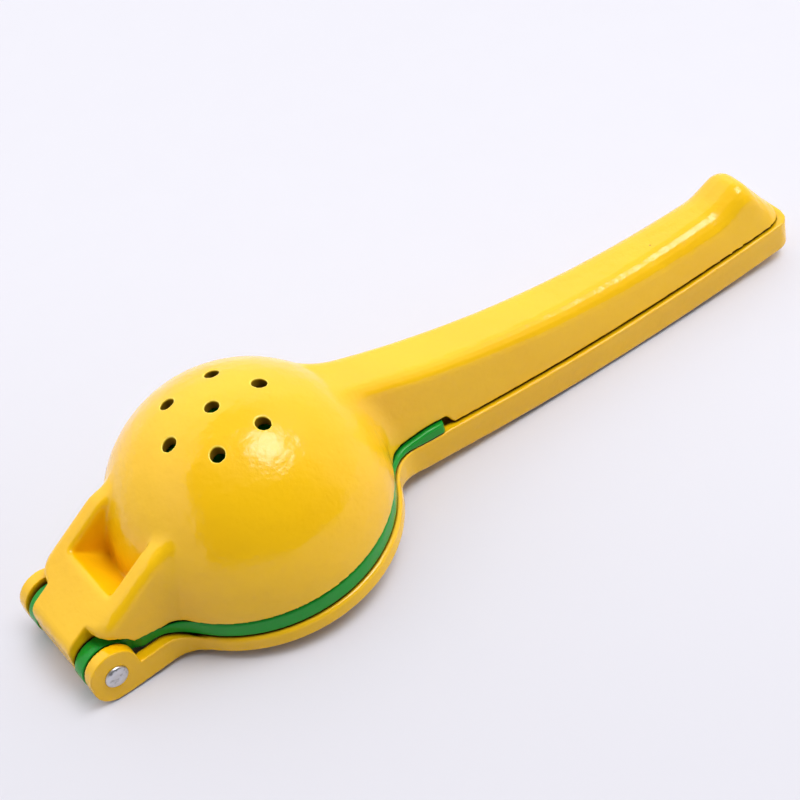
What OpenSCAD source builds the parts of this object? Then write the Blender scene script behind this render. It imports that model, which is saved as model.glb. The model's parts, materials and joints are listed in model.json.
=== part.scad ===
// Two-in-one hinged citrus squeezer, closed and lying with its bowl up.
// The lemon bowl arm lies on the lime cup, and the cup lies on the press arm. One pin joins the three.
// Every piece is drawn in the bowl's frame: X from the bowl axis towards the handle end, Z up along
// the bowl axis, Z = 0 on the underside of the press flange. lying() then sets the closed tool down
// on its flange and handle, with Z = 0 on the surface that it lies on.

/* [Lemon bowl] */
// Outer radius of the lemon bowl
bowl_r = 37; // [36:0.5:38]
// Wall thickness of the lemon bowl
bowl_wall = 3; // [2.4:0.2:3.4]
// Diameter of a juice hole
hole_d = 3.8; // [3:0.2:4.4]
// Angle from the bowl axis to the ring of juice holes
hole_angle = 22; // [18:1:26]

/* [Lime cup] */
// Outer radius of the lime cup's shell
cup_r = 28.6; // [27.6:0.2:29]
// Wall thickness of the lime cup
cup_wall = 2.6; // [2.2:0.2:3]
// Reach of the cup's tab from the bowl axis
tab_reach = 53.2; // [52:0.2:53.4]

/* [Press] */
// Outer radius of the hollow plunger
plunger_r = 21.5; // [20:0.5:22]
// Wall thickness of the plunger
plunger_wall = 2.8; // [2.2:0.2:3.2]
// Outer radius of the press flange
flange_r = 37.6; // [37.2:0.2:38.4]

/* [Handles] */
// Half width of the press arm's handle at its rim
tray_half_w = 11.2; // [10.8:0.2:12]
// Half width of the bowl arm's handle at its lower edge
grip_half_w = 9.9; // [9.5:0.1:10.1]
// Reach of the press arm's handle from the bowl axis
handle_reach = 173.5; // [170:0.5:177]
// Radius of the side curve that both handles follow
handle_arc_r = 650; // [600:10:700]
// Depth of the press arm's handle
tray_depth = 10.2; // [9.8:0.1:11]
// Height of the thumb hook above the lowest point of the handle's back
hook_rise = 3; // [2:0.2:4]

/* [Hinge] */
// Diameter of the hinge pin
pin_d = 5; // [4.4:0.2:5.6]
// Diameter of the pin's domed head
head_d = 6.2; // [6:0.2:7]
// Half width of the bowl arm's central knuckle
knuckle_half_w = 9.2; // [8.8:0.1:9.3]
// Outer radius of the press arm's ears
ear_r = 6.7; // [6.5:0.1:6.9]
// Half width over the ears
ear_half_w = 18; // [17.6:0.2:18.6]
// Slope of the hinge plate and its two legs
plate_slope = 30.5; // [28:0.5:32]

/* [Hidden] */
$fn = 64;

gap = 0.35;           // between closed faces of different pieces
bowl_gap = 0.55;      // between the bowl's edge and the lime cup's rim
fit = 0.05;           // radial clearance of the pin in a turning bore
round_steps = 5;      // facets across a rounded edge of a loft
far = 60;             // reach of a cutting solid

// levels
rim_z = 4.8;          // top of the press flange
cup_top_z = 10.3;     // top of the lime cup's rim
bowl_edge_z = cup_top_z + bowl_gap;
bowl_centre_z = 11.4;
pin_x = -(bowl_r + 16);
pin_z = 8.3;

// resting position
rest_tilt = -5.6;
rest_lift = 4.99;
rest_shift = 57;

// ---------------------------------------------------------------- helpers

module lying() {
    translate([-rest_shift, 0, rest_lift])
        rotate([0, rest_tilt, 0])
            children();
}

module both_sides() {
    children();
    mirror([0, 1, 0]) children();
}

// A solid through rings that follow one another along +X. Each ring is the same on both sides of Y = 0,
// so each end is closed by strips from side to side
module loft(rings) {
    n = len(rings[0]);
    last = (len(rings) - 1) * n;
    sides = [
        for (i = [0 : n : last - n], j = [0 : n - 1])
            let (a = i + j, b = i + (j + 1) % n)
                each [[a, a + n, b + n], [a, b + n, b]]
    ];
    start = [for (j = [0 : n / 2 - 2]) each [[j, j + 1, n - 2 - j], [j, n - 2 - j, n - 1 - j]]];
    end = [for (f = start) [last + f[0], last + f[2], last + f[1]]];
    polyhedron([for (ring = rings) each ring], concat(sides, start, end));
}

// Half of a section at x, from its lower edge up one side: half_w gives the half width at a height,
// and r rounds the upper edge
function half_section(x, low, high, half_w, r, steps) = concat(
    [for (i = [0 : steps - 1]) let (z = low + (high - r - low) * i / steps) [x, half_w(z), z]],
    [
        for (i = [0 : round_steps])
            let (a = 90 * i / round_steps, z = high - r + r * sin(a))
                [x, half_w(z) - r * (1 - cos(a)), z]
    ]
);

function mirrored_ring(half) = concat(
    half,
    [for (i = [len(half) - 1 : -1 : 0]) [half[i].x, -half[i].y, half[i].z]]
);

function blend(t, a, slope_a, b, slope_b, span) =
    a * (1 - 3 * t * t + 2 * t * t * t) + b * (3 * t * t - 2 * t * t * t)
    + slope_a * span * t * (1 - t) * (1 - t) - slope_b * span * t * t * (1 - t);

// Radius of the bowl's outside at a height
function bowl_outline(z) = sqrt(max(1, bowl_r * bowl_r - pow(max(0, z - bowl_centre_z), 2)));

// How far a wall at half width w stands out where a fillet of radius r runs it into a circle of
// radius big. along is the distance from the circle's centre
function fillet_out(along, w, big, r) =
    let (start = sqrt(pow(big + r, 2) - pow(w + r, 2)), stop = start * big / (big + r))
        along >= start ? 0 : r - sqrt(r * r - pow(start - max(along, stop), 2));

// How much a plan corner of radius r takes off the half width, at a distance before the end
function corner_in(to_end, r) = to_end >= r ? 0 : r - sqrt(max(0, r * r - pow(r - to_end, 2)));

function arc(centre, r, from, to, steps) =
    [for (i = [0 : steps]) let (a = from + (to - from) * i / steps) centre + r * [cos(a), sin(a)]];

function steps_between(a, b, count) = [for (i = [0 : count - 1]) a + (b - a) * i / count];

// ---------------------------------------------------------------- handle lines

arc_low_x = handle_reach - 0.5;
arc_low_z = -8.6;
function arc_z(x) = arc_low_z + handle_arc_r - sqrt(pow(handle_arc_r, 2) - pow(x - arc_low_x, 2));
function arc_slope(x) = (x - arc_low_x) / handle_arc_r;

// The seam between the two handles: level at the bowl, then down along the handles' curve
seam_start = 36;
seam_join = 52;
function seam_z(x) =
    x <= seam_start ? rim_z
    : x >= seam_join ? arc_z(x)
    : blend((x - seam_start) / (seam_join - seam_start), rim_z, 0, arc_z(seam_join), arc_slope(seam_join),
            seam_join - seam_start);

// The rim of the press arm's handle is the seam, cut down a little where the lime cup's tab crosses it
dip_start = 38;
dip_end = 58;
dip_depth = 0.5;
function rim_dip(x) =
    x <= dip_start || x >= dip_end ? 0
    : dip_depth * (1 - cos(360 * (x - dip_start) / (dip_end - dip_start))) / 2;
function tray_rim_z(x) = seam_z(x) - rim_dip(x);

// The underside of the press arm's handle, which drops from the flange in a short hollow curve
tray_root_x = 33;
tray_root_slope = -0.95;
tray_join = 54;
function tray_z(x) =
    x <= tray_root_x ? 0
    : x >= tray_join ? arc_z(x) - tray_depth
    : blend((x - tray_root_x) / (tray_join - tray_root_x), 0, tray_root_slope, arc_z(tray_join) - tray_depth,
            arc_slope(tray_join), tray_join - tray_root_x);

// The back of the bowl arm's handle: a long hollow curve from the bowl, then the thumb hook
back_arc_r = 286;
back_low_x = handle_reach - 16.5;
back_low_z = 4.1;
function back_arc(x) = back_low_z + back_arc_r - sqrt(pow(back_arc_r, 2) - pow(x - back_low_x, 2));

hook_arc_r = 14;
hook_angle = 22;
hook_top_r = 4;
hook_end_angle = 59.4;
hook_top_x = handle_reach - 12.2;
hook_top_z = back_low_z + hook_rise - hook_top_r;
hook_x2 = hook_top_x - hook_top_r * sin(hook_angle);
hook_z2 = hook_top_z + hook_top_r * cos(hook_angle);
hook_z1 = back_low_z + hook_arc_r * (1 - cos(hook_angle));
hook_x1 = hook_x2 - (hook_z2 - hook_z1) / tan(hook_angle);
hook_x0 = hook_x1 - hook_arc_r * sin(hook_angle);
hook_x3 = hook_top_x + hook_top_r * sin(hook_end_angle);
hook_z3 = hook_top_z + hook_top_r * cos(hook_end_angle);
function back_z(x) =
    x < hook_x0 ? back_arc(x)
    : x < hook_x1 ? back_low_z + hook_arc_r - sqrt(pow(hook_arc_r, 2) - pow(x - hook_x0, 2))
    : x < hook_x2 ? hook_z1 + (x - hook_x1) * tan(hook_angle)
    : x < hook_x3 ? hook_top_z + sqrt(pow(hook_top_r, 2) - pow(x - hook_top_x, 2))
    : hook_z3 - (x - hook_x3) * tan(hook_end_angle);

// ---------------------------------------------------------------- bowl arm

grip_flare = 0.004;       // widening of the handle's lower edge, per mm of length
grip_top_w = 8.25;        // half width of its back, where the handle starts
grip_top_taper = 1.3;     // how much of that is lost at the hook
grip_edge_start = 3.6;    // rounding of the back's edges, near the bowl and at the end
grip_edge_end = 5.2;
grip_wall = 2.6;
grip_start_x = 60;
grip_end_x = handle_reach - 1.6;
grip_corner_r = 5;
grip_fillet = 7.5;
tray_fillet = 11;         // plan fillet of the press arm's handle and the tab at the bowl
arch_x = 54.4;            // end of the arch over the lime cup's tab
arch_end_x = 56.6;
seam_gap = 0.7;           // between the rims of the two handles
tab_top = 6.65;
tab_gap = 0.5;
function tab_top_z(x) = min(tab_top, seam_z(x) + 3.2);
function grip_low_z(x) =
    let (arch = tab_top_z(x) + tab_gap, edge = seam_z(x) + seam_gap, t = (x - arch_x) / (arch_end_x - arch_x))
    x <= arch_x ? arch : x >= arch_end_x ? edge : blend(t, arch, 0, edge, 0, arch_end_x - arch_x);
function along_grip(x) = max(0, (x - grip_start_x) / (hook_top_x - grip_start_x));
function grip_edge_r(x) = grip_edge_start + (grip_edge_end - grip_edge_start) * min(1, along_grip(x));

// Half width of the grip at a height: its sides lean from the lower edge to the back
function grip_w(x) = function(z)
    let (
        low_w = grip_half_w + grip_flare * (x - grip_start_x),
        top_w = grip_top_w - grip_top_taper * pow(along_grip(x), 2),
        rise = (z - seam_z(x)) / max(6, back_z(x) - seam_z(x)),
        w = low_w + (top_w - low_w) * rise
    )
        w + fillet_out(x, w, bowl_outline(z), grip_fillet) - corner_in(grip_end_x - x, grip_corner_r);

grip_stations = concat(
    steps_between(27, 45, 15),
    steps_between(45, arch_x, 4),
    steps_between(arch_x, arch_end_x, 5),
    steps_between(arch_end_x, hook_x0, 20),
    steps_between(hook_x0, hook_x2, 9),
    steps_between(hook_x2, hook_x3, 7),
    steps_between(hook_x3, grip_end_x - 1, 7),
    [grip_end_x - 1, grip_end_x]
);

module grip() {
    loft([
        for (x = grip_stations)
            let (low = grip_low_z(x), high = max(low + 1, back_z(x)))
            let (r = min(grip_edge_r(x), 0.45 * (high - low)))
                mirrored_ring(half_section(x, low, high, grip_w(x), r, 5))
    ]);
}

grip_hollow_start = bowl_r + 6;
grip_hollow_stations = concat(
    steps_between(grip_hollow_start, hook_x0, 20),
    steps_between(hook_x0, hook_x3 - 1, 5)
);

module grip_hollow() {
    loft([
        for (x = grip_hollow_stations)
            let (w = grip_w(x), inside = function(z) w(z) - grip_wall)
                mirrored_ring(half_section(x, seam_z(x) - 1, back_z(x) - grip_wall, inside, 2, 2))
    ]);
}

// Hinge side: a sloping plate on the knuckle, two legs up to the bowl, and a pocket between them
plate_x = -32;
plate_z = 32;
function plate_top(x) = plate_z + (x - plate_x) * tan(plate_slope);
block_half_w = 16;
block_front_x = pin_x + 0.4;
block_corner_r = 5;
block_edge_r = 3;
block_fillet = 6;
ear_rise = 1;             // the ears' upper rounding is centred this much above the pin
ear_drop = 1.4;           // and their lower rounding this much below it
ear_clear_r = ear_r + 2;
knuckle_r = 6.5;
nose_r = 4;
nose_x = pin_x - knuckle_r + nose_r;
nose_z = plate_top(nose_x) - nose_r / cos(plate_slope);
ridge_x = -44.8;
block_low_x = -37;        // from here the block's underside rises towards the hinge
block_low_slope = 0.24;
pocket_half_w = 9.6;
pocket_slope = 48;

function block_low_z(x) = bowl_edge_z + block_low_slope * max(0, block_low_x - x);

function block_w(x) = function(z)
    block_half_w + fillet_out(-x, block_half_w, bowl_outline(z), block_fillet)
    - corner_in(x - block_front_x, block_corner_r);

block_stations = concat(
    steps_between(block_front_x, -48, 5),
    steps_between(-48, -41, 3),
    steps_between(-41, block_low_x, 4),
    steps_between(block_low_x, -24, 10)
);

module hinge_block() {
    difference() {
        loft([
            for (x = block_stations)
                mirrored_ring(half_section(x, block_low_z(x), plate_top(x), block_w(x), block_edge_r, 4))
        ]);
        both_sides() translate([pin_x, knuckle_half_w, pin_z + ear_rise])
            rotate([-90, 0, 0]) cylinder(r = ear_clear_r, h = far, $fn = 96);
    }
}

// The knuckle turns over the pin and runs up into the plate with a rounded nose
module knuckle_outline() {
    polygon(concat(
        arc([pin_x, pin_z], knuckle_r, 20, -180, 16),
        arc([nose_x, nose_z], nose_r, 180, 90 + plate_slope, 4),
        [[-42, plate_top(-42)], [-42, pin_z + knuckle_r * sin(20)]]
    ));
}

module knuckle() {
    rotate([90, 0, 0])
        linear_extrude(2 * knuckle_half_w, center = true)
            knuckle_outline();
}

// The pocket's floor falls from the ridge towards the bowl
module pocket() {
    deep_x = ridge_x + 9;
    deep_z = plate_top(ridge_x) - 9 * tan(pocket_slope);
    rotate([90, 0, 0])
        linear_extrude(2 * pocket_half_w, center = true)
            polygon([
                [ridge_x, plate_top(ridge_x) + 0.01],
                [deep_x, deep_z],
                [-20, deep_z],
                [-20, far],
                [ridge_x - 6, far],
                [ridge_x - 6, plate_top(ridge_x)]
            ]);
}

module juice_holes(shell_r, centre_z, d) {
    ring_r = shell_r * sin(hole_angle);
    translate([0, 0, centre_z]) cylinder(d = d, h = far, $fn = 48);
    for (i = [0 : 5])
        rotate([0, 0, 60 * i]) translate([ring_r, 0, centre_z]) cylinder(d = d, h = far, $fn = 48);
}

module bowl_solid(r, low) {
    intersection() {
        translate([0, 0, bowl_centre_z]) sphere(r = r, $fn = 128);
        translate([-far, -far, low]) cube(2 * far);
    }
    translate([0, 0, low]) cylinder(r = r, h = bowl_centre_z - low, $fn = 128);
}

module pin_bore(half_w) {
    translate([pin_x, 0, pin_z])
        rotate([90, 0, 0])
            cylinder(d = pin_d + 2 * fit, h = 2 * half_w, center = true, $fn = 64);
}

module bowl_arm() {
    color([0.98, 0.78, 0.12])
    lying()
    difference() {
        union() {
            bowl_solid(bowl_r, bowl_edge_z);
            grip();
            difference() {
                union() {
                    hinge_block();
                    knuckle();
                }
                difference() {
                    pocket();
                    bowl_solid(bowl_r, 0);
                }
            }
        }
        bowl_solid(bowl_r - bowl_wall, 0);
        cylinder(r = cup_rim_r + gap, h = bowl_edge_z, $fn = 128);
        grip_hollow();
        juice_holes(bowl_r - bowl_wall / 2, bowl_centre_z, hole_d);
        pin_bore(far);
    }
}

// ---------------------------------------------------------------- lime cup

cup_centre_z = 8;
cup_low_z = rim_z + gap;
lug_r = 6.8;
lug_in = knuckle_half_w + 0.3;
lug_out = 13.6;
cup_rim_r = bowl_r - 0.4;

// Top of the press arm's bars. They are level beside the hinge and sink to the flange
link_x1 = -39;
link_x2 = -29;
link_high_z = 7.3;
function link_z(x) =
    let (t = min(1, max(0, (x - link_x1) / (link_x2 - link_x1))))
        blend(t, link_high_z, 0, rim_z, 0, 1);

// Everything above that line, raised by up, as seen from the side
module above_link(up) {
    rotate([90, 0, 0])
        linear_extrude(4 * far, center = true)
            polygon(concat(
                [[pin_x - 20, far], [pin_x - 20, link_high_z + up]],
                [for (i = [0 : 8]) let (x = link_x1 + (link_x2 - link_x1) * i / 8) [x, link_z(x) + up]],
                [[0, rim_z + up], [0, far]]
            ));
}

module cup_profile() {
    difference() {
        union() {
            intersection() {
                translate([0, cup_centre_z]) circle(r = cup_r, $fn = 128);
                translate([0, cup_low_z]) square([far, far]);
            }
            polygon([
                [0, cup_low_z],
                [cup_rim_r - 0.3, cup_low_z],
                [cup_rim_r, cup_low_z + 0.3],
                [cup_rim_r, cup_top_z - 0.85],
                [cup_rim_r - 0.6, cup_top_z],
                [0, cup_top_z]
            ]);
        }
        translate([0, cup_centre_z]) circle(r = cup_r - cup_wall, $fn = 128);
        translate([-far, -far]) square([far, 2 * far]);
    }
}

function tab_w(x) = let (w = tray_half_w - 0.1)
    w + fillet_out(x, w, cup_rim_r, tray_fillet) - corner_in(tab_reach - x, 1.6);

tab_stations = concat(
    steps_between(30, 44, 10),
    steps_between(44, tab_reach - 1.6, 4),
    steps_between(tab_reach - 1.6, tab_reach, 4),
    [tab_reach]
);

module tab() {
    loft([
        for (x = tab_stations)
            mirrored_ring(half_section(x, tray_rim_z(x) + gap, tab_top_z(x), function(z) tab_w(x), 0.7, 1))
    ]);
}

arm_half_w = 15;
arm_x = pin_x + 8.6;      // where the arm widens behind the press arm's ear
arm_fillet = 14;

// Plan of the cup's arm on one side: from the lug it widens behind the ear and runs into the rim
module arm_plan() {
    run = sqrt(pow(cup_rim_r + arm_fillet, 2) - pow(arm_half_w + arm_fillet, 2));
    turn = atan2(arm_half_w + arm_fillet, run);
    polygon(concat(
        [[pin_x, lug_in], [pin_x, lug_out], [arm_x - 1, lug_out], [arm_x + 1.4, arm_half_w]],
        arc([-run, arm_half_w + arm_fillet], arm_fillet, -90, -turn, 8),
        [[-25, 20], [-25, lug_in]]
    ));
}

// Everything that lies under the bowl arm's block, as seen from the side
module below_block() {
    rotate([90, 0, 0])
        linear_extrude(4 * far, center = true)
            polygon([
                [pin_x, -far],
                [pin_x, block_low_z(pin_x) - bowl_gap],
                [block_low_x, cup_top_z],
                [0, cup_top_z],
                [0, -far]
            ]);
}

module lug() {
    translate([pin_x, lug_in, pin_z])
        rotate([-90, 0, 0])
            cylinder(r = lug_r, h = lug_out - lug_in, $fn = 96);
    intersection() {
        translate([0, 0, rim_z]) linear_extrude(far) arm_plan();
        above_link(gap);
        below_block();
    }
}

module lime_cup() {
    color([0.16, 0.55, 0.24])
    lying()
    difference() {
        union() {
            rotate_extrude($fn = 128) cup_profile();
            difference() {
                union() {
                    tab();
                    both_sides() lug();
                }
                cylinder(r = cup_r, h = far, $fn = 96);
            }
        }
        juice_holes(cup_r - cup_wall / 2, cup_centre_z, hole_d);
        pin_bore(far);
    }
}

// ---------------------------------------------------------------- press arm

plunger_centre_z = 4;
bar_in = ear_half_w - 3.2;
bar_low_z = pin_z - ear_drop - ear_r;
bar_fillet = 10;
tray_edge_r = 1.6;
tray_wall = 2.6;
tray_corner_r = 4.5;

module press_profile() {
    difference() {
        union() {
            intersection() {
                translate([0, plunger_centre_z]) circle(r = plunger_r, $fn = 128);
                translate([0, 0]) square([far, far]);
            }
            polygon([
                [0, 0],
                [flange_r - 0.6, 0],
                [flange_r, 0.6],
                [flange_r, rim_z - 0.8],
                [flange_r - 0.25, rim_z - 0.25],
                [flange_r - 0.8, rim_z],
                [0, rim_z]
            ]);
        }
        intersection() {
            translate([0, plunger_centre_z]) circle(r = plunger_r - plunger_wall, $fn = 128);
            translate([0, -far]) square([far, 2 * far]);
        }
        translate([0, -1]) square([flange_r - 3.2, rim_z - 2.8 + 1]);
        translate([-far, -far]) square([far, 2 * far]);
    }
}

function tray_w(x) = function(z)
    let (w = tray_half_w - 0.04 * (seam_z(x) - z))
        w + fillet_out(x, w, flange_r, tray_fillet) - corner_in(handle_reach - x, tray_corner_r);

tray_stations = concat(
    steps_between(30, 45, 11),
    steps_between(45, handle_reach - tray_corner_r, 26),
    steps_between(handle_reach - tray_corner_r, handle_reach, 6),
    [handle_reach]
);

// The tray's section is rounded at its lower edge, so it is turned over
module tray() {
    mirror([0, 0, 1])
        loft([
            for (x = tray_stations)
                let (outside = function(z) tray_w(x)(-z))
                    mirrored_ring(half_section(x, -tray_rim_z(x), -tray_z(x), outside, tray_edge_r, 2))
        ]);
}

module tray_hollow() {
    mirror([0, 0, 1])
        loft([
            for (x = concat(steps_between(41, handle_reach - 6, 26), [handle_reach - 3.2]))
                let (inside = function(z) tray_w(x)(-z) - tray_wall)
                    mirrored_ring(half_section(x, -seam_z(x) - 1, -tray_z(x) - tray_wall, inside, 1.6, 2))
        ]);
}

module ear_outline() {
    polygon(concat(
        arc([pin_x, pin_z + ear_rise], ear_r, 0, 180, 20),
        arc([pin_x, pin_z - ear_drop], ear_r, 180, 270, 10),
        [[pin_x + ear_r, bar_low_z]]
    ));
}

// Plan of the bar between an ear and the flange, on one side
module bar_plan() {
    run = sqrt(pow(flange_r + bar_fillet, 2) - pow(ear_half_w + bar_fillet, 2));
    turn = atan2(ear_half_w + bar_fillet, run);
    polygon(concat(
        [[pin_x, bar_in], [pin_x, ear_half_w]],
        arc([-run, ear_half_w + bar_fillet], bar_fillet, -90, -turn, 8),
        [[-25, 22], [-25, bar_in]]
    ));
}

module ear() {
    translate([0, ear_half_w, 0])
        rotate([90, 0, 0])
            linear_extrude(ear_half_w - bar_in) ear_outline();
    difference() {
        translate([0, 0, bar_low_z]) linear_extrude(link_high_z - bar_low_z) bar_plan();
        above_link(0);
    }
}

module press_arm() {
    color([0.95, 0.74, 0.12])
    lying()
    difference() {
        union() {
            rotate_extrude($fn = 128) press_profile();
            difference() {
                union() {
                    tray();
                    both_sides() ear();
                }
                translate([0, 0, -far]) cylinder(r = flange_r - 3.2, h = 2 * far, $fn = 128);
            }
        }
        tray_hollow();
        pin_bore(far);
        translate([0, 0, rim_z])
            difference() {
                cylinder(r = cup_rim_r + 0.5, h = far, $fn = 128);
                cylinder(r = plunger_r, h = far, $fn = 128);
            }
    }
}

// ---------------------------------------------------------------- hinge pin

head_rise = 0.9;
module hinge_pin() {
    color([0.75, 0.76, 0.78])
    lying()
    translate([pin_x, 0, pin_z])
        rotate([90, 0, 0])
            rotate_extrude($fn = 64)
                polygon([
                    [0, -ear_half_w - head_rise],
                    [head_d / 2 - 0.6, -ear_half_w - head_rise],
                    [head_d / 2, -ear_half_w - 0.3],
                    [head_d / 2, -ear_half_w],
                    [pin_d / 2, -ear_half_w],
                    [pin_d / 2, ear_half_w],
                    [head_d / 2, ear_half_w],
                    [head_d / 2, ear_half_w + 0.3],
                    [head_d / 2 - 0.6, ear_half_w + head_rise],
                    [0, ear_half_w + head_rise]
                ]);
}

bowl_arm();
lime_cup();
press_arm();
hinge_pin();
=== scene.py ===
"""Hinged two-cup citrus squeezer in glossy enamel, closed and lying on a pale floor.

The three castings are softened copies of the solids in the frame, with the rounded edges and
fillets that casting and enamelling leave. The pin is modelled here.
"""

import json
import math

import bpy
import numpy as np
from mathutils import Matrix, Vector

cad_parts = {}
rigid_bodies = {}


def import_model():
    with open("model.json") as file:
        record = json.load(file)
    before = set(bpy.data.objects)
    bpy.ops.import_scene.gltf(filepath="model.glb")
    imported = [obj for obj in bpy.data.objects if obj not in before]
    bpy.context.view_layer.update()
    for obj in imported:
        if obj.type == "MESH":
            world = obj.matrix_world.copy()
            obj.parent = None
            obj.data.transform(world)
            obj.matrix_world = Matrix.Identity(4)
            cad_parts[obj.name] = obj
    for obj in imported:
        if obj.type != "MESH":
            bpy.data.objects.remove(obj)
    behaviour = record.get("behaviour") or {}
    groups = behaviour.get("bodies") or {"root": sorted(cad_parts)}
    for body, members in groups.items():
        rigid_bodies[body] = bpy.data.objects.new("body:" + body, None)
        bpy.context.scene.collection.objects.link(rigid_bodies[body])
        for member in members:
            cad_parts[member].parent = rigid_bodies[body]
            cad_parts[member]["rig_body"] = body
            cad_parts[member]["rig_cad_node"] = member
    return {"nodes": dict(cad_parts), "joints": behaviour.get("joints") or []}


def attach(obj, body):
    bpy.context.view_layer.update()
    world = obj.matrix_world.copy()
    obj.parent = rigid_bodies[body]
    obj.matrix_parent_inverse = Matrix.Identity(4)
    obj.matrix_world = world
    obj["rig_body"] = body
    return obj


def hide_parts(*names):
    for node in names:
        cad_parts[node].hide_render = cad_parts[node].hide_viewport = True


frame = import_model()

bl_info = {
    "name": "Citrus Squeezer",
    "version": (1, 0, 0),
    "blender": (4, 5, 0),
    "location": "View3D > Sidebar > Squeezer",
    "description": "Builds the castings, the pin and the stage of a hinged citrus squeezer",
    "category": "Object",
}

MM = 0.001

# Vertex weights are written in this many steps, which is much faster than one by one
WEIGHT_LEVELS = 20

# The bowl's own axis leans back as the closed tool lies on its ears and its handle
REST_TILT = math.radians(-5.6)
REST_SHIFT = Vector((-57 * MM, 0, 4.99 * MM))
TURN = Matrix.Rotation(REST_TILT, 3, "Y")

PIN_HINGE = Vector(frame["joints"][0]["pos_m"])

# The lemon bowl and its juice holes, in mm in the bowl's frame
BOWL_RADIUS = 37
BOWL_CENTRE_Z = 11.4
HOLE_RADIUS = 1.9
HOLE_RING = 13.3
HOLES_IN_RING = 6


def lying(x, y, z):
    """A point given in the bowl's frame in mm, as it is at rest in metres."""
    return TURN @ (Vector((x, y, z)) * MM) + REST_SHIFT


def upright(points):
    """Rows of points at rest in metres, given back in the bowl's frame in mm."""
    return (points - np.array(REST_SHIFT)) @ np.array(TURN) / MM


# ---------------------------------------------------------------- settings


class CastingSettings(bpy.types.PropertyGroup):
    voxel: bpy.props.FloatProperty(
        name="Voxel", description="Cell of the remesh that joins each casting into one skin",
        default=0.28 * MM, unit="LENGTH", precision=5)
    edge_passes: bpy.props.IntProperty(
        name="Edge passes", description="Smoothing passes that round every cast edge", default=2)
    fillet_passes: bpy.props.IntProperty(
        name="Fillet passes",
        description="Further passes where a handle or a leg runs into the bowl", default=140)
    triangles: bpy.props.IntProperty(
        name="Triangles", description="Most triangles that a finished casting has", default=190000)


class EnamelSettings(bpy.types.PropertyGroup):
    lemon: bpy.props.FloatVectorProperty(
        name="Lemon", description="Colour of the lemon enamel", subtype="COLOR", size=4,
        default=(0.90, 0.515, 0.003, 1))
    lime: bpy.props.FloatVectorProperty(
        name="Lime", description="Colour of the lime enamel", subtype="COLOR", size=4,
        default=(0.004, 0.30, 0.022, 1))
    peel: bpy.props.FloatProperty(
        name="Orange peel", description="Depth of the fine grain that enamel sets with",
        default=0.00008, unit="LENGTH", precision=6)
    waves: bpy.props.FloatProperty(
        name="Waves", description="Depth of the slow waves under the orange peel",
        default=0.0003, unit="LENGTH", precision=6)


class PinSettings(bpy.types.PropertyGroup):
    shank_radius: bpy.props.FloatProperty(
        name="Shank radius", description="Radius of the pin in the bores", default=2.5 * MM,
        unit="LENGTH", precision=5)
    head_radius: bpy.props.FloatProperty(
        name="Head radius", description="Radius of each riveted head", default=3.1 * MM,
        unit="LENGTH", precision=5)
    head_rise: bpy.props.FloatProperty(
        name="Head rise", description="How far a head stands out of the ear", default=0.9 * MM,
        unit="LENGTH", precision=5)
    half_length: bpy.props.FloatProperty(
        name="Half length", description="From the middle of the pin to the ear's outer face",
        default=18 * MM, unit="LENGTH", precision=5)


class StageSettings(bpy.types.PropertyGroup):
    floor_size: bpy.props.FloatProperty(
        name="Floor size", description="Side of the square floor", default=6, unit="LENGTH")
    floor_colour: bpy.props.FloatVectorProperty(
        name="Floor colour", description="Colour of the floor", subtype="COLOR", size=4,
        default=(0.70, 0.69, 0.745, 1))
    tent_light: bpy.props.FloatProperty(
        name="Tent light", description="Brightness of the tent's walls at the top", default=1.7)
    foot_light: bpy.props.FloatProperty(
        name="Foot light", description="Brightness of the tent's walls at the floor", default=1.0)
    right_light: bpy.props.FloatProperty(
        name="Right light", description="Brightness of the light that spills in on the right",
        default=0.9)
    ceiling_light: bpy.props.FloatProperty(
        name="Ceiling light", description="Brightness of the glow round the lamp", default=0.5)
    room_light: bpy.props.FloatProperty(
        name="Room light", description="Brightness of the room seen through the tent's opening",
        default=0.14)
    lamp_light: bpy.props.FloatProperty(
        name="Lamp light", description="Brightness of the soft lamp over the tent", default=11.0)
    fill_light: bpy.props.FloatProperty(
        name="Fill light", description="Power of the lamp by the handles, in watts", default=0.2)


def settings(name):
    return getattr(bpy.context.scene, "squeezer_" + name)


# ---------------------------------------------------------------- shader node groups


def new_group(name, inputs, outputs):
    """An empty shader node group with float, colour and vector sockets."""
    kinds = {"float": "NodeSocketFloat", "colour": "NodeSocketColor", "vector": "NodeSocketVector"}
    group = bpy.data.node_groups.new(name, "ShaderNodeTree")
    for label, kind, value in inputs:
        socket = group.interface.new_socket(name=label, in_out="INPUT", socket_type=kinds[kind])
        if value is not None:
            socket.default_value = value
    for label, kind in outputs:
        group.interface.new_socket(name=label, in_out="OUTPUT", socket_type=kinds[kind])
    entry = group.nodes.new("NodeGroupInput")
    leave = group.nodes.new("NodeGroupOutput")
    return group, entry, leave


def add(tree, kind, **values):
    """A node with its sockets set. A value that is a socket is linked, any other is a default."""
    node = tree.nodes.new(kind)
    for key, value in values.items():
        if key.startswith("set_"):
            setattr(node, key[4:], value)
    for key, value in values.items():
        if key.startswith("set_"):
            continue
        if key.startswith("at_"):
            socket = node.inputs[int(key[3:])]
        else:
            socket = node.inputs[key.replace("_", " ")]
        if isinstance(value, bpy.types.NodeSocket):
            tree.links.new(value, socket)
        else:
            socket.default_value = value
    return node


def ramp(tree, fac, low, high):
    """A smooth 0 to 1 step of fac between low and high."""
    node = add(tree, "ShaderNodeMapRange", set_interpolation_type="SMOOTHSTEP", Value=fac)
    node.inputs["From Min"].default_value = low
    node.inputs["From Max"].default_value = high
    return node.outputs["Result"]


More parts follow.
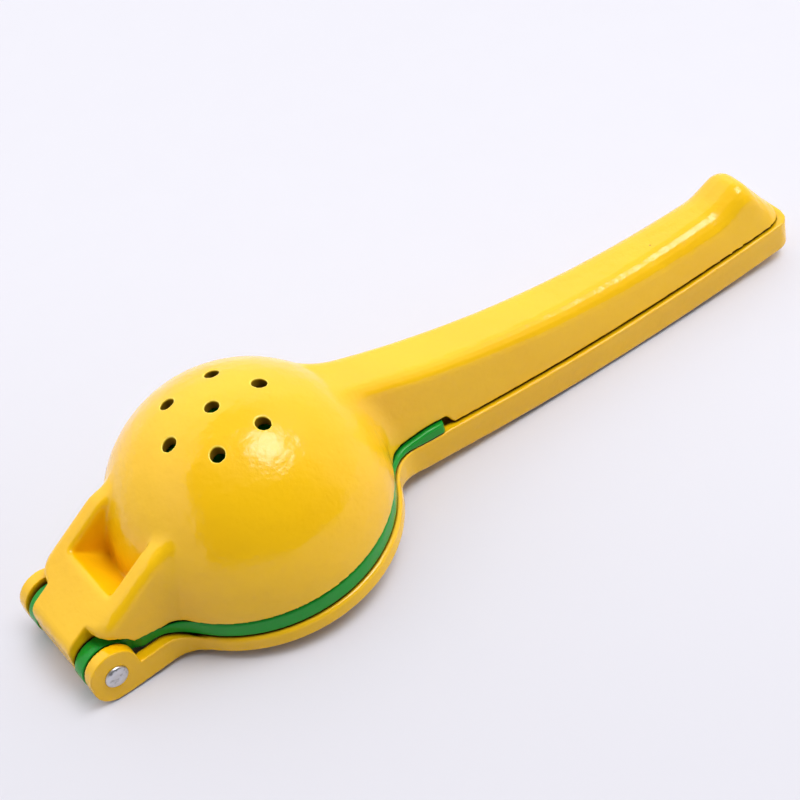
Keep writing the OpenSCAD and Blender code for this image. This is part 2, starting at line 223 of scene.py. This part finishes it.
def spread(tree, fac, low, high):
    """fac, which runs from 0 to 1, made to run from low to high."""
    node = add(tree, "ShaderNodeMapRange", Value=fac)
    node.inputs["To Min"].default_value = low
    node.inputs["To Max"].default_value = high
    return node.outputs["Result"]


def math_node(tree, operation, a, b=0.0, c=0.0):
    return add(tree, "ShaderNodeMath", set_operation=operation, at_0=a, at_1=b, at_2=c).outputs[0]


def product(tree, a, b):
    return math_node(tree, "MULTIPLY", a, b)


def length(tree, a, b):
    """The square root of a * a + b * b."""
    both = math_node(tree, "ADD", product(tree, a, a), product(tree, b, b))
    return math_node(tree, "SQRT", both)


def mix_colours(tree, amount, low, high):
    """The colour low where amount is 0, and high where it is 1."""
    node = add(tree, "ShaderNodeMix", set_data_type="RGBA", at_0=amount, at_6=low, at_7=high)
    return node.outputs[2]


PINHOLE_COLOUR = (0.18, 0.07, 0.01, 1)
PINHOLE_RARITY = 0.965


def enamel_tone_group():
    """Enamel colour: slow drifts of depth, and rare dark pinholes."""
    group, entry, leave = new_group(
        "Enamel Tone",
        [("Colour", "colour", None), ("Deep Colour", "colour", None), ("Drift", "float", 0.35),
         ("Pinholes", "float", 0.6)],
        [("Colour", "colour"), ("Pinhole", "float")])
    place = add(group, "ShaderNodeTexCoord").outputs["Object"]
    slow = add(group, "ShaderNodeTexNoise", Vector=place, Scale=38.0, Detail=2.0, Roughness=0.5)
    drift = product(group, ramp(group, slow.outputs["Fac"], 0.3, 0.75), entry.outputs["Drift"])
    mixed = mix_colours(group, drift, entry.outputs["Colour"], entry.outputs["Deep Colour"])
    cells = add(group, "ShaderNodeTexVoronoi", Vector=place, Scale=95.0)
    rare = add(group, "ShaderNodeSeparateColor", Color=cells.outputs["Color"])
    chosen = math_node(group, "GREATER_THAN", rare.outputs[0], PINHOLE_RARITY)
    dot = math_node(group, "SUBTRACT", 1.0, ramp(group, cells.outputs["Distance"], 0.02, 0.034))
    amount = product(group, product(group, chosen, dot), entry.outputs["Pinholes"])
    dark = mix_colours(group, amount, mixed, PINHOLE_COLOUR)
    group.links.new(dark, leave.inputs["Colour"])
    group.links.new(amount, leave.inputs["Pinhole"])
    return group


def orange_peel_group():
    """The normal of enamel: slow waves, a fine orange peel, and small dents at the pinholes."""
    group, entry, leave = new_group(
        "Orange Peel",
        [("Peel", "float", None), ("Waves", "float", None), ("Pinhole", "float", None)],
        [("Normal", "vector"), ("Height", "float")])
    place = add(group, "ShaderNodeTexCoord").outputs["Object"]
    slow = add(group, "ShaderNodeTexNoise", Vector=place, Scale=190.0, Detail=1.5, Roughness=0.4)
    waves = add(group, "ShaderNodeBump", Strength=1.0, Distance=entry.outputs["Waves"],
                Height=slow.outputs["Fac"])
    fine = add(group, "ShaderNodeTexNoise", Vector=place, Scale=800.0, Detail=2.0)
    dents = math_node(group, "SUBTRACT", fine.outputs["Fac"], entry.outputs["Pinhole"])
    bump = add(group, "ShaderNodeBump", Strength=1.0, Distance=entry.outputs["Peel"],
               Height=dents, Normal=waves.outputs[0])
    group.links.new(bump.outputs[0], leave.inputs["Normal"])
    group.links.new(fine.outputs["Fac"], leave.inputs["Height"])
    return group


def bowl_axes(group):
    """x, y and z in the bowl's frame, and the distance from the bowl's axis, in metres."""
    place = add(group, "ShaderNodeTexCoord").outputs["Object"]
    moved = add(group, "ShaderNodeVectorMath", set_operation="SUBTRACT", at_0=place,
                at_1=REST_SHIFT)
    turned = add(group, "ShaderNodeVectorRotate", set_rotation_type="Y_AXIS",
                 Vector=moved.outputs[0], Angle=-REST_TILT)
    axes = add(group, "ShaderNodeSeparateXYZ", Vector=turned.outputs[0])
    x, y, z = (axes.outputs[i] for i in range(3))
    return x, y, z, length(group, x, y)


def juice_holes_group():
    """1 on the walls of the bowl's juice holes, where shade is painted, and 1 on the thin lip round
    each of them, where a highlight is painted.
    """
    group, _, leave = new_group("Juice Holes", [], [("Wall", "float"), ("Lit Lip", "float")])
    x, y, z, radius = bowl_axes(group)
    # every hole of the ring is folded onto the one at angle 0
    turn = math_node(group, "ADD", math_node(group, "ARCTAN2", y, x), 2 * math.pi)
    angle = math_node(group, "PINGPONG", turn, math.pi / HOLES_IN_RING)
    ring = HOLE_RING * MM
    far = math_node(group, "ADD", product(group, radius, radius), ring * ring)
    toward = product(group, product(group, radius, 2 * ring), math_node(group, "COSINE", angle))
    to_ring = math_node(group, "SQRT", math_node(group, "SUBTRACT", far, toward))
    to_hole = math_node(group, "MINIMUM", to_ring, radius)
    up = math_node(group, "SUBTRACT", z, BOWL_CENTRE_Z * MM)
    depth = math_node(group, "SUBTRACT", BOWL_RADIUS * MM, length(group, radius, up))

    def hole_and(margin, fade):
        """1 within a hole's radius and a margin, and 0 from there on, in mm."""
        edge = HOLE_RADIUS + margin
        return ramp(group, to_hole, (edge + fade) * MM, edge * MM)

    # painted shade on the hole's wall, and a painted highlight on its lip
    wall = product(group, hole_and(0.1, 0.25), ramp(group, depth, 0.1 * MM, 0.7 * MM))
    lit_lip = product(group, hole_and(0.2, 0.2), ramp(group, depth, 0.4 * MM, 0.15 * MM))
    group.links.new(wall, leave.inputs["Wall"])
    group.links.new(lit_lip, leave.inputs["Lit Lip"])
    return group


# Where the seams between the castings lie, in mm in the bowl's frame: outside the cups, and either
# low down or in front of the hinge plate, which leaves out the pocket between the legs
SEAM_RADIUS = 36.2
SEAM_TOP = 14
SEAM_HINGE_X = -50


def seam_shade_group():
    """1 in the narrow gaps between the castings, where shade is painted into the enamel."""
    group, entry, leave = new_group("Seam Shade", [("Reach", "float", 1.8 * MM)], [("Seam", "float")])
    open_sky = add(group, "ShaderNodeAmbientOcclusion", set_samples=12,
                   Distance=entry.outputs["Reach"])
    closed = ramp(group, open_sky.outputs["AO"], 0.8, 0.35)
    x, _, z, radius = bowl_axes(group)
    outside = ramp(group, radius, (SEAM_RADIUS - 0.7) * MM, SEAM_RADIUS * MM)
    low = ramp(group, z, (SEAM_TOP + 2) * MM, SEAM_TOP * MM)
    at_hinge = ramp(group, x, (SEAM_HINGE_X + 1) * MM, SEAM_HINGE_X * MM)
    open_side = product(group, outside, math_node(group, "MAXIMUM", low, at_hinge))
    group.links.new(product(group, closed, open_side), leave.inputs["Seam"])
    return group


def group_node(tree, name, build):
    """A node of the shader group of that name, which is built on its first use."""
    group = bpy.data.node_groups.get(name) or build()
    return add(tree, "ShaderNodeGroup", set_node_tree=group)


def new_material(name):
    material = bpy.data.materials.new(name)
    material.use_nodes = True
    tree = material.node_tree
    return material, tree, tree.nodes["Principled BSDF"]


# Where the enamel lies thicker, and the shade painted into the seams
LEMON_DEEP = (0.82, 0.42, 0.002, 1)
LEMON_SEAM_SHADE = (0.035, 0.014, 0.004, 1)
LIME_DEEP = (0.002, 0.21, 0.014, 1)
LIME_SEAM_SHADE = (0.001, 0.016, 0.003, 1)

# A painted highlight on the edge and painted shade on the wall of a juice hole
HOLE_SHADE_AND_HIGHLIGHT = {"Lit Lip": (1.0, 0.72, 0.08, 1), "Wall": (0.24, 0.14, 0.01, 1)}
ENAMEL_IOR = 1.5


def enamel(name, colour, deep, seam_shade_colour, roughness, gloss=0.42, holes=False):
    """Glossy stove enamel over a casting."""
    material, tree, shader = new_material(name)
    tone = group_node(tree, "Enamel Tone", enamel_tone_group)
    tone.inputs["Colour"].default_value = colour
    tone.inputs["Deep Colour"].default_value = deep
    peel = group_node(tree, "Orange Peel", orange_peel_group)
    peel.inputs["Peel"].default_value = settings("enamel").peel
    peel.inputs["Waves"].default_value = settings("enamel").waves
    tree.links.new(tone.outputs["Pinhole"], peel.inputs["Pinhole"])
    seen = tone.outputs["Colour"]
    if holes:
        # painted shade on the walls of the juice holes and a painted highlight on their lips
        mask = group_node(tree, "Juice Holes", juice_holes_group)
        for socket, tint in HOLE_SHADE_AND_HIGHLIGHT.items():
            seen = mix_colours(tree, mask.outputs[socket], seen, tint)
    # painted shade: the enamel is darkened to a near-black colour where the gaps between the
    # castings close in
    seam_darkening = group_node(tree, "Seam Shade", seam_shade_group)
    seen = mix_colours(tree, seam_darkening.outputs["Seam"], seen, seam_shade_colour)
    tree.links.new(seen, shader.inputs["Base Color"])
    tree.links.new(peel.outputs["Normal"], shader.inputs["Normal"])
    dull = spread(tree, peel.outputs["Height"], roughness - 0.03, roughness + 0.05)
    tree.links.new(dull, shader.inputs["Roughness"])
    shader.inputs["IOR"].default_value = ENAMEL_IOR
    shader.inputs["Specular IOR Level"].default_value = gloss
    return material


STEEL_BRIGHT = (0.62, 0.62, 0.66, 1)
STEEL_STAINED = (0.26, 0.25, 0.26, 1)


def steel(name):
    """Turned and plated steel with fine rings and a few dull patches."""
    material, tree, shader = new_material(name)
    place = add(tree, "ShaderNodeTexCoord").outputs["Object"]
    centred = add(tree, "ShaderNodeMapping", Vector=place, Location=-PIN_HINGE)
    rings = add(tree, "ShaderNodeTexWave", set_wave_type="RINGS", set_rings_direction="Y",
                Vector=centred.outputs[0], Scale=900.0, Distortion=3.0, Detail=2.0)
    stains = add(tree, "ShaderNodeTexNoise", Vector=place, Scale=700.0, Detail=4.0)
    stained = ramp(tree, stains.outputs["Fac"], 0.52, 0.75)
    tone = mix_colours(tree, stained, STEEL_BRIGHT, STEEL_STAINED)
    tree.links.new(tone, shader.inputs["Base Color"])
    shader.inputs["Metallic"].default_value = 1.0
    tree.links.new(spread(tree, stains.outputs["Fac"], 0.2, 0.5), shader.inputs["Roughness"])
    bump = add(tree, "ShaderNodeBump", Strength=0.4, Distance=0.02 * MM,
               Height=rings.outputs["Fac"])
    tree.links.new(bump.outputs[0], shader.inputs["Normal"])
    return material


# The card as the camera sees it: how bright it is where nothing shades it, how much of that is
# mixed in, and how far round a point the object counts as near
FLOOR_GLOW = 1.29
GLOW_SHARE = 0.55
SHADE_REACH = 0.03

# Painted falloff of light: the card darkens a little along this direction on the floor, over these
# places in metres
FADE_X, FADE_Y = 0.69, 0.73
FADE_START, FADE_END = 0.1, -0.14


def scaled(colour, factor):
    return tuple(c * factor for c in colour[:3]) + (1,)


def floor_paper(name, colour):
    """Matt white card, with a painted falloff of light towards the front, and a wide soft shadow
    that the camera sees lighter.
    """
    material, tree, shader = new_material(name)
    place = add(tree, "ShaderNodeTexCoord").outputs["Object"]
    fibre = add(tree, "ShaderNodeTexNoise", Vector=place, Scale=60.0, Detail=3.0)
    tone = mix_colours(tree, fibre.outputs["Fac"], colour, scaled(colour, 0.985))
    axes = add(tree, "ShaderNodeSeparateXYZ", Vector=place)
    along = math_node(tree, "ADD", product(tree, axes.outputs[0], FADE_X),
                      product(tree, axes.outputs[1], FADE_Y))
    # painted falloff of light: darker towards the front
    painted_falloff = mix_colours(tree, ramp(tree, along, FADE_START, FADE_END), tone, scaled(colour, 0.9))
    tree.links.new(painted_falloff, shader.inputs["Base Color"])
    shader.inputs["Roughness"].default_value = 0.85
    shader.inputs["Specular IOR Level"].default_value = 0.2
    # seen by the camera, the wide soft part of the shadow is lighter than the part by the object
    lit = add(tree, "ShaderNodeEmission", Strength=FLOOR_GLOW, Color=painted_falloff)
    open_sky = add(tree, "ShaderNodeAmbientOcclusion", Distance=SHADE_REACH, set_samples=12)
    seen = add(tree, "ShaderNodeLightPath")
    wide = product(tree, ramp(tree, open_sky.outputs["AO"], 0.25, 0.95), GLOW_SHARE)
    share = product(tree, wide, seen.outputs["Is Camera Ray"])
    mixed = add(tree, "ShaderNodeMixShader", at_0=share, at_1=shader.outputs[0],
                at_2=lit.outputs[0])
    tree.links.new(mixed.outputs[0], tree.nodes["Material Output"].inputs["Surface"])
    return material


# ---------------------------------------------------------------- modelling helpers


def deselect_all():
    if bpy.context.mode != "OBJECT":
        bpy.ops.object.mode_set(mode="OBJECT")
    bpy.ops.object.select_all(action="DESELECT")


def only(obj):
    deselect_all()
    obj.select_set(True)
    bpy.context.view_layer.objects.active = obj


def copy_of_node(node, name):
    """A separate copy of a solid in the frame, merged into one closed mesh."""
    only(frame["nodes"][node])
    bpy.ops.object.duplicate()
    piece = bpy.context.view_layer.objects.active
    piece.name = name
    piece.data.name = name
    piece.parent = None
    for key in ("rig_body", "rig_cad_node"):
        if key in piece:
            del piece[key]
    piece.data.materials.clear()
    only(piece)
    bpy.ops.object.mode_set(mode="EDIT")
    bpy.ops.mesh.select_all(action="SELECT")
    bpy.ops.mesh.remove_doubles(threshold=1e-6)
    bpy.ops.object.mode_set(mode="OBJECT")
    return piece


def apply_modifier(piece, kind, **values):
    modifier = piece.modifiers.new(kind.title(), kind)
    for key, value in values.items():
        setattr(modifier, key, value)
    only(piece)
    bpy.ops.object.modifier_apply(modifier=modifier.name)


def vertex_rows(piece):
    """The places of a piece's vertices at rest in metres, one in each row."""
    points = np.empty(3 * len(piece.data.vertices))
    piece.data.vertices.foreach_get("co", points)
    return points.reshape(-1, 3)


def weigh(piece, name, weight_at):
    """A vertex group whose weight at each vertex is weight_at(x, y, z in the bowl's frame)."""
    levels = np.round(weight_at(*upright(vertex_rows(piece)).T) * WEIGHT_LEVELS)
    group = piece.vertex_groups.new(name=name)
    for level in range(1, WEIGHT_LEVELS + 1):
        group.add(np.flatnonzero(levels == level).tolist(), level / WEIGHT_LEVELS, "REPLACE")
    return group.name


def soften(piece, reshape=None, fillet_at=None):
    """Remeshes a casting into one skin, reshapes it, and rounds it, more where fillet_at says."""
    casting = settings("casting")
    apply_modifier(piece, "REMESH", mode="VOXEL", voxel_size=casting.voxel, use_smooth_shade=True)
    if reshape:
        reshape(piece)
    if fillet_at:
        apply_modifier(piece, "SMOOTH", factor=0.8, iterations=casting.fillet_passes,
                       vertex_group=weigh(piece, "fillets", fillet_at))
        piece.vertex_groups.clear()
    apply_modifier(piece, "SMOOTH", factor=0.5, iterations=casting.edge_passes)
    bpy.ops.object.shade_smooth()
    lighten(piece, casting.triangles)


def lighten(piece, triangles):
    """Brings a dense mesh down to a number of triangles and keeps the dense mesh's shading."""
    share = triangles / (2 * len(piece.data.polygons))
    if share >= 1:
        return
    only(piece)
    bpy.ops.object.duplicate()
    dense = bpy.context.view_layer.objects.active
    apply_modifier(piece, "DECIMATE", ratio=share)
    bpy.ops.object.shade_smooth()
    apply_modifier(piece, "DATA_TRANSFER", object=dense, use_loop_data=True,
                   data_types_loops={"CUSTOM_NORMAL"}, loop_mapping="POLYINTERP_NEAREST")
    only(dense)
    bpy.ops.object.delete()


def dress(piece, material, body, node):
    piece.data.materials.clear()
    piece.data.materials.append(material)
    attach(piece, body)
    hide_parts(node)


def near(value, centre, reach):
    """1 at centre, falling smoothly to 0 at reach from it."""
    t = np.minimum(1.0, np.abs(value - centre) / reach)
    return 1 - t * t * (3 - 2 * t)


# ---------------------------------------------------------------- pieces

# The hinge plate, the legs and the pocket between them, in mm in the bowl's frame
PLATE_X = -32
PLATE_Z = 32
PLATE_SLOPE = math.tan(math.radians(30.5))
RIDGE_X = -44.8
POCKET_HALF_W = 9.6
LEG_HALF_W = 15.5

# Where the legs' ends are lowered, by how much of their height over the bowl, and over how many mm
# of that height this fades
LEG_END_X = -33.5
LEG_END_Z = 25.0
LEG_END_FADE_IN = 4.0
LEG_END_DROP = 1.9
LEG_END_FADE = 1.7

# How far in mm each fillet reaches, and how strongly it is smoothed
POCKET_RIM = (3.2, 0.9)
LEG_ROOT = (6.0, 1.0)
LEG_SIDE = (4.0, 0.6)
HANDLE_ROOT = (3.0, 0.4)


def off_bowl(x, y, z):
    """Distance from the bowl's outside."""
    rise = np.maximum(0.0, z - BOWL_CENTRE_Z)
    return np.sqrt(x * x + y * y + rise * rise) - BOWL_RADIUS


def over_plate(x, z):
    """Height over the plane of the hinge plate and of the legs' tops."""
    return z - PLATE_Z - (x - PLATE_X) * PLATE_SLOPE


def pocket_rim(x, y, z):
    """Distance from the rim of the pocket between the legs."""
    outside = np.abs(y) - POCKET_HALF_W
    side = np.where(outside > -3, np.abs(outside), np.minimum(-outside, x - RIDGE_X))
    behind = np.hypot(np.maximum(0.0, outside), RIDGE_X - x)
    return np.hypot(np.where(x > RIDGE_X, side, behind), over_plate(x, z))


def leg_side(x, y, z):
    """Distance from the outer edge of either leg's top."""
    return np.hypot(np.abs(y) - LEG_HALF_W, over_plate(x, z))


def bowl_fillets(x, y, z):
    """Where the handle, the legs and the pocket run into the bowl, on the outside."""

    def fillet(where, distance, reach, strength):
        return np.where(where, near(distance, 0, reach) * strength, 0)

    out = off_bowl(x, y, z)
    outside = (z > 12.5) & (out > -2.2) & (out < 7)
    return np.maximum.reduce([
        fillet((x < -24) & (z > 20), pocket_rim(x, y, z), *POCKET_RIM),
        fillet(outside & (x < -18) & (np.abs(y) < 22), out - 1.0, *LEG_ROOT),
        fillet((x < -24) & (z > 17), leg_side(x, y, z), *LEG_SIDE),
        fillet(outside & (x > 20) & (np.abs(y) < 17), out - 0.5, *HANDLE_ROOT),
    ])


def beyond(value, start):
    """0 up to start, rising smoothly to 1 over the reach in which the leg ends are lowered."""
    return 1 - near(np.maximum(value, start), start, LEG_END_FADE_IN)


def lower_leg_ends(piece):
    """Lowers the thin ends of the legs onto the bowl, so that they run out where it steepens."""
    points = vertex_rows(piece)
    x, y, z = upright(points).T
    out = off_bowl(x, y, z)
    region = np.where((x < -15) & (np.abs(y) > 8) & (out > 0),
                      beyond(x, LEG_END_X) * beyond(z, LEG_END_Z), 0)
    drop = np.minimum(out, LEG_END_DROP * out * np.exp(-out / LEG_END_FADE)) * region
    inward = np.array(lying(0, 0, BOWL_CENTRE_Z)) - points
    inward /= np.linalg.norm(inward, axis=1)[:, None]
    points += inward * (drop * MM)[:, None]
    piece.data.vertices.foreach_set("co", points.ravel())
    piece.data.update()


class SQUEEZER_OT_bowl_arm(bpy.types.Operator):
    """Lemon bowl with its handle, hinge plate, legs and knuckle"""

    bl_idname = "squeezer.bowl_arm"
    bl_label = "Bowl Arm"

    def execute(self, context):
        piece = copy_of_node("bowl_arm", "bowl_arm_casting")
        soften(piece, lower_leg_ends, bowl_fillets)
        lemon = enamel("Lemon Enamel Bowl", settings("enamel").lemon, LEMON_DEEP, LEMON_SEAM_SHADE, 0.15,
                       holes=True)
        dress(piece, lemon, "lemon", "bowl_arm")
        return {"FINISHED"}


class SQUEEZER_OT_lime_cup(bpy.types.Operator):
    """Lime cup with its rim, tab, arms and lugs"""

    bl_idname = "squeezer.lime_cup"
    bl_label = "Lime Cup"

    def execute(self, context):
        piece = copy_of_node("lime_cup", "lime_cup_casting")
        soften(piece)
        lime = enamel("Lime Enamel", settings("enamel").lime, LIME_DEEP, LIME_SEAM_SHADE, 0.17,
                      gloss=0.26)
        dress(piece, lime, "lime", "lime_cup")
        return {"FINISHED"}


class SQUEEZER_OT_press_arm(bpy.types.Operator):
    """Press dome with its flange, lower handle, bars and ears"""

    bl_idname = "squeezer.press_arm"
    bl_label = "Press Arm"

    def execute(self, context):
        piece = copy_of_node("press_arm", "press_arm_casting")
        soften(piece)
        lemon = enamel("Lemon Enamel Press", settings("enamel").lemon, LEMON_DEEP, LEMON_SEAM_SHADE, 0.15)
        dress(piece, lemon, "press", "press_arm")
        return {"FINISHED"}


# A pin head from the shank outwards, as shares of the head's radius and of its rise over the ear
HEAD_PROFILE = ((1.0, 0.0), (1.0, 0.30), (0.94, 0.55), (0.80, 0.78), (0.55, 0.93), (0.28, 1.0))
PUNCH_INSET = 0.25
PUNCH_DEPTH = 0.12 * MM


class SQUEEZER_OT_hinge_pin(bpy.types.Operator):
    """Steel pin with a riveted head at each end"""

    bl_idname = "squeezer.hinge_pin"
    bl_label = "Hinge Pin"

    def execute(self, context):
        pin = settings("pin")
        deselect_all()
        bpy.ops.mesh.primitive_cylinder_add(
            vertices=96, radius=pin.shank_radius, depth=2 * pin.half_length,
            location=PIN_HINGE, rotation=(math.pi / 2, 0, 0))
        piece = bpy.context.view_layer.objects.active
        piece.name = piece.data.name = "hinge_pin_steel"
        bpy.ops.object.transform_apply(location=True, rotation=True, scale=True)
        for side in (-1, 1):
            self.form_head(piece, pin, side)
        only(piece)
        bpy.ops.object.mode_set(mode="EDIT")
        bpy.ops.mesh.select_all(action="SELECT")
        bpy.ops.mesh.normals_make_consistent(inside=False)
        bpy.ops.object.mode_set(mode="OBJECT")
        bpy.ops.object.shade_smooth_by_angle(angle=math.radians(50))
        dress(piece, steel("Plated Steel"), "press", "hinge_pin")
        return {"FINISHED"}

    def form_head(self, piece, pin, side):
        """Turns one end of the shank into a low dome with a shallow punch mark."""
        only(piece)
        bpy.ops.object.mode_set(mode="EDIT")
        bpy.ops.mesh.select_mode(type="FACE")
        bpy.ops.mesh.select_all(action="DESELECT")
        bpy.ops.object.mode_set(mode="OBJECT")
        end = PIN_HINGE.y + side * pin.half_length
        for face in piece.data.polygons:
            face.select = abs(face.center.y - end) < 1e-5 and len(face.vertices) > 8
        bpy.ops.object.mode_set(mode="EDIT")
        radius = pin.shank_radius
        height = 0.0
        for share, rise in HEAD_PROFILE:
            new_radius = share * pin.head_radius
            new_height = rise * pin.head_rise
            bpy.ops.mesh.extrude_region()
            bpy.ops.transform.translate(value=(0, side * (new_height - height), 0))
            factor = new_radius / radius
            bpy.ops.transform.resize(
                value=(factor, 1, factor),
                center_override=(PIN_HINGE.x, end + side * new_height, PIN_HINGE.z))
            radius, height = new_radius, new_height
        bpy.ops.mesh.inset(thickness=radius * PUNCH_INSET, depth=0)
        bpy.ops.transform.translate(value=(0, -side * PUNCH_DEPTH, 0))
        bpy.ops.object.mode_set(mode="OBJECT")


# ---------------------------------------------------------------- stage

# In the bowl's frame, the place in mm
CAMERA_PLACE = (-105.520, -339.875, 404.572)
CAMERA_RIGHT = (0.784932, -0.586267, -0.200430)
CAMERA_UP = (0.551386, 0.513434, 0.657540)
CAMERA_LENS = 94.5

# Directions of the light: the middle of the ceiling's glow, the light from the right, the edges of
# the tent's two walls as planes through the object, and the lamp
CEILING = (0.2, 0.1, 0.97)
RIGHT = (0.95, 0.1, 0.3)
LEFT_WALL = (-0.43, 0.764, -0.482)
BACK_WALL = (-0.108, 0.86, -0.5)
LAMP = (0.33, -0.2, 0.92)

FILL_PLACE = (0.20, -0.26, 0.22)
FILL_AIM = (0.06, 0, 0.02)
SKY_COLOUR = (0.98, 0.985, 1.0, 1)
BACKDROP_COLOUR = (0.93, 0.92, 0.97, 1)
FLOOR_Z = -0.2 * MM


class SQUEEZER_OT_stage(bpy.types.Operator):
    """Pale floor, soft light and the camera"""

    bl_idname = "squeezer.stage"
    bl_label = "Stage"

    def execute(self, context):
        stage = settings("stage")
        deselect_all()
        bpy.ops.mesh.primitive_plane_add(size=stage.floor_size, location=(0, 0, FLOOR_Z))
        floor = bpy.context.view_layer.objects.active
        floor.name = "floor"
        bpy.ops.object.transform_apply(location=True, rotation=True, scale=True)
        floor.data.materials.append(floor_paper("White Card", tuple(stage.floor_colour)))
        self.lights(context, stage)
        self.camera(context)
        context.scene.view_settings.view_transform = "Standard"
        return {"FINISHED"}

    def lights(self, context, stage):
        """A light tent with white walls behind and on the left, open in front, and a lamp above."""
        world = bpy.data.worlds.new("Light Tent")
        world.use_nodes = True
        tree = world.node_tree
        around = add(tree, "ShaderNodeTexCoord").outputs["Generated"]

        def facing(direction, low, high):
            """A step of how far the light's direction agrees with the given one."""
            both = add(tree, "ShaderNodeVectorMath", set_operation="DOT_PRODUCT", at_0=around,
                       at_1=Vector(direction).normalized())
            return ramp(tree, both.outputs["Value"], low, high)

        def patch(direction, narrow, wide):
            """1 within narrow degrees of a direction, 0 beyond wide degrees."""
            return facing(direction, math.cos(math.radians(wide)), math.cos(math.radians(narrow)))

        def blend(amount, low, high):
            """The strength low where amount is 0, and high where it is 1."""
            node = add(tree, "ShaderNodeMix", set_data_type="FLOAT", at_0=amount, at_2=low,
                       at_3=high)
            return node.outputs[0]

        wall = blend(facing((0, 0, 1), 0.1, 0.7), stage.foot_light, stage.tent_light)
        glow = math_node(tree, "MULTIPLY_ADD", patch(CEILING, 20, 50), stage.ceiling_light,
                         stage.room_light)
        room = math_node(tree, "MULTIPLY_ADD", facing(RIGHT, 0.55, 0.95), stage.right_light, glow)
        walled = math_node(tree, "MAXIMUM", facing(LEFT_WALL, -0.02, 0.04),
                           facing(BACK_WALL, -0.05, 0.06))
        lamp = blend(patch(LAMP, 0, 20), blend(walled, room, wall), stage.lamp_light)
        sky = tree.nodes["Background"]
        sky.inputs["Color"].default_value = SKY_COLOUR
        tree.links.new(lamp, sky.inputs["Strength"])
        backdrop = add(tree, "ShaderNodeBackground", Color=BACKDROP_COLOUR, Strength=1.0)
        seen = add(tree, "ShaderNodeLightPath")
        choice = add(tree, "ShaderNodeMixShader", at_0=seen.outputs["Is Camera Ray"],
                     at_1=sky.outputs[0], at_2=backdrop.outputs[0])
        tree.links.new(choice.outputs[0], tree.nodes["World Output"].inputs["Surface"])
        context.scene.world = world
        self.fill(stage)

    def fill(self, stage):
        """A small soft lamp low on the right, in front of the handles."""
        bpy.ops.object.light_add(type="AREA", location=FILL_PLACE)
        lamp = bpy.context.view_layer.objects.active
        lamp.name = "fill"
        aim = Vector(FILL_AIM) - lamp.location
        lamp.rotation_euler = aim.to_track_quat("-Z", "Y").to_euler()
        lamp.data.size = 0.3
        lamp.data.energy = stage.fill_light
        lamp.visible_glossy = False

    def camera(self, context):
        place = lying(*CAMERA_PLACE)
        right = TURN @ Vector(CAMERA_RIGHT)
        up = TURN @ Vector(CAMERA_UP)
        back = right.cross(up)
        pose = Matrix((right, up, back)).transposed().to_4x4()
        pose.translation = place
        bpy.ops.object.camera_add()
        camera = bpy.context.view_layer.objects.active
        camera.name = "camera"
        camera.matrix_world = pose
        camera.data.lens = CAMERA_LENS
        camera.data.sensor_width = 36
        camera.data.clip_start = 0.01
        context.scene.camera = camera


# ---------------------------------------------------------------- panel and registration


class SQUEEZER_PT_panel(bpy.types.Panel):
    """Lists the pieces of the squeezer"""

    bl_label = "Squeezer"
    bl_idname = "SQUEEZER_PT_panel"
    bl_space_type = "VIEW_3D"
    bl_region_type = "UI"
    bl_category = "Squeezer"

    def draw(self, context):
        for operator in PIECES:
            self.layout.operator(operator.bl_idname)
        for name, group in SETTINGS.items():
            box = self.layout.box()
            box.label(text=name.title())
            values = getattr(context.scene, "squeezer_" + name)
            for key in group.__annotations__:
                box.prop(values, key)


SETTINGS = {
    "casting": CastingSettings,
    "enamel": EnamelSettings,
    "pin": PinSettings,
    "stage": StageSettings,
}
PIECES = (
    SQUEEZER_OT_bowl_arm,
    SQUEEZER_OT_lime_cup,
    SQUEEZER_OT_press_arm,
    SQUEEZER_OT_hinge_pin,
    SQUEEZER_OT_stage,
)


def register():
    for group in SETTINGS.values():
        bpy.utils.register_class(group)
    for name, group in SETTINGS.items():
        setattr(bpy.types.Scene, "squeezer_" + name, bpy.props.PointerProperty(type=group))
    for operator in PIECES:
        bpy.utils.register_class(operator)
    bpy.utils.register_class(SQUEEZER_PT_panel)


def unregister():
    bpy.utils.unregister_class(SQUEEZER_PT_panel)
    for operator in reversed(PIECES):
        bpy.utils.unregister_class(operator)
    for name in SETTINGS:
        delattr(bpy.types.Scene, "squeezer_" + name)
    for group in reversed(SETTINGS.values()):
        bpy.utils.unregister_class(group)


def main():
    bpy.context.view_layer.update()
    register()
    bpy.ops.squeezer.bowl_arm()
    bpy.ops.squeezer.lime_cup()
    bpy.ops.squeezer.press_arm()
    bpy.ops.squeezer.hinge_pin()
    bpy.ops.squeezer.stage()
    bpy.context.view_layer.update()


if __name__ == "__main__":
    main()
